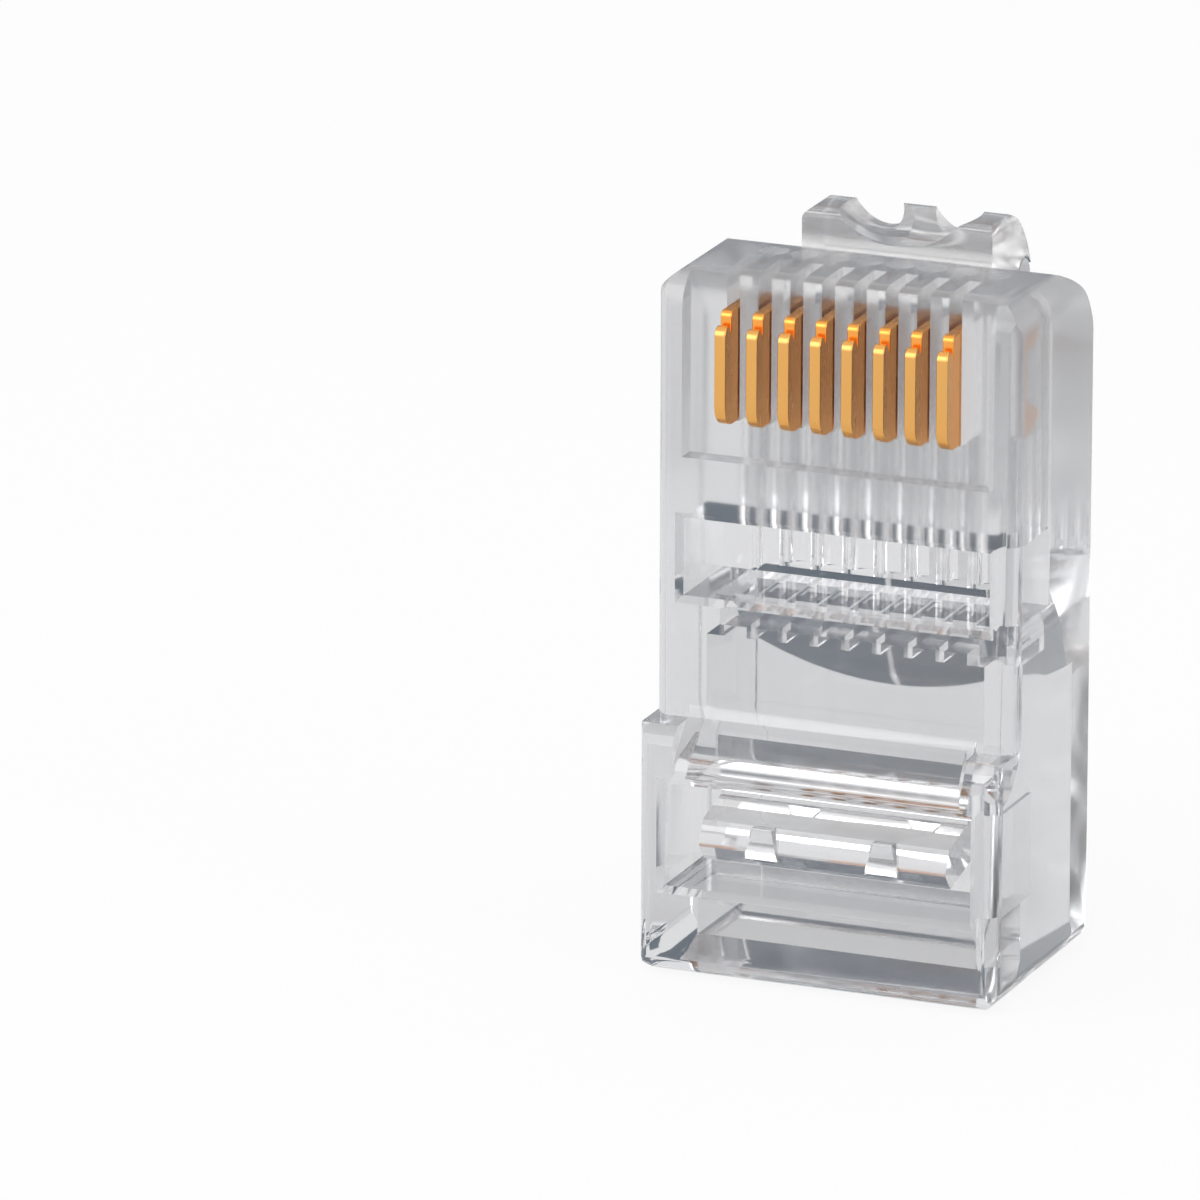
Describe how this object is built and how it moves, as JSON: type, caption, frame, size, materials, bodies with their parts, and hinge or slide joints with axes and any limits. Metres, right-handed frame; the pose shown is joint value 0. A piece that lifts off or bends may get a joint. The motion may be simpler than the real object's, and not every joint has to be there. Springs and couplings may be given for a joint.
{
  "type": "modular plug",
  "caption": "Clear stepped modular cable plug with a row of gold blade contacts, clamp windows and a sprung latch lever.",
  "frame": {"origin": "middle of the cable end face, on the plug's insertion axis", "axes": "+Z from the cable end to the nose, the way the plug goes into its jack; -Y contact side, +Y latch side; X across the row of contacts"},
  "size_m": [0.0116, 0.013, 0.0227],
  "materials": {
    "clear_plastic": "clear moulded polycarbonate, polished",
    "gold_plate": "polished gold plate"
  },
  "bodies": {
    "body": {"housing": "clear_plastic"},
    "latch": {"latch_lever": "clear_plastic"},
    "blade_1": {"contact_1": "gold_plate"},
    "blade_2": {"contact_2": "gold_plate"},
    "blade_3": {"contact_3": "gold_plate"},
    "blade_4": {"contact_4": "gold_plate"},
    "blade_5": {"contact_5": "gold_plate"},
    "blade_6": {"contact_6": "gold_plate"},
    "blade_7": {"contact_7": "gold_plate"},
    "blade_8": {"contact_8": "gold_plate"}
  },
  "joints": [
    {"name": "latch_flex", "type": "hinge", "parent": "body", "child": "latch", "pos_m": [0, 0.00522, 0.0206], "axis": [-1, 0, 0], "range_deg": [0, 17], "stiffness_Nm_per_rad": 0.3},
    {"name": "crimp_1", "type": "slide", "parent": "body", "child": "blade_1", "axis": [0, 1, 0], "range_m": [0, 0.00098]},
    {"name": "crimp_2", "type": "slide", "parent": "body", "child": "blade_2", "axis": [0, 1, 0], "range_m": [0, 0.00098]},
    {"name": "crimp_3", "type": "slide", "parent": "body", "child": "blade_3", "axis": [0, 1, 0], "range_m": [0, 0.00098]},
    {"name": "crimp_4", "type": "slide", "parent": "body", "child": "blade_4", "axis": [0, 1, 0], "range_m": [0, 0.00098]},
    {"name": "crimp_5", "type": "slide", "parent": "body", "child": "blade_5", "axis": [0, 1, 0], "range_m": [0, 0.00098]},
    {"name": "crimp_6", "type": "slide", "parent": "body", "child": "blade_6", "axis": [0, 1, 0], "range_m": [0, 0.00098]},
    {"name": "crimp_7", "type": "slide", "parent": "body", "child": "blade_7", "axis": [0, 1, 0], "range_m": [0, 0.00098]},
    {"name": "crimp_8", "type": "slide", "parent": "body", "child": "blade_8", "axis": [0, 1, 0], "range_m": [0, 0.00098]}
  ]
}
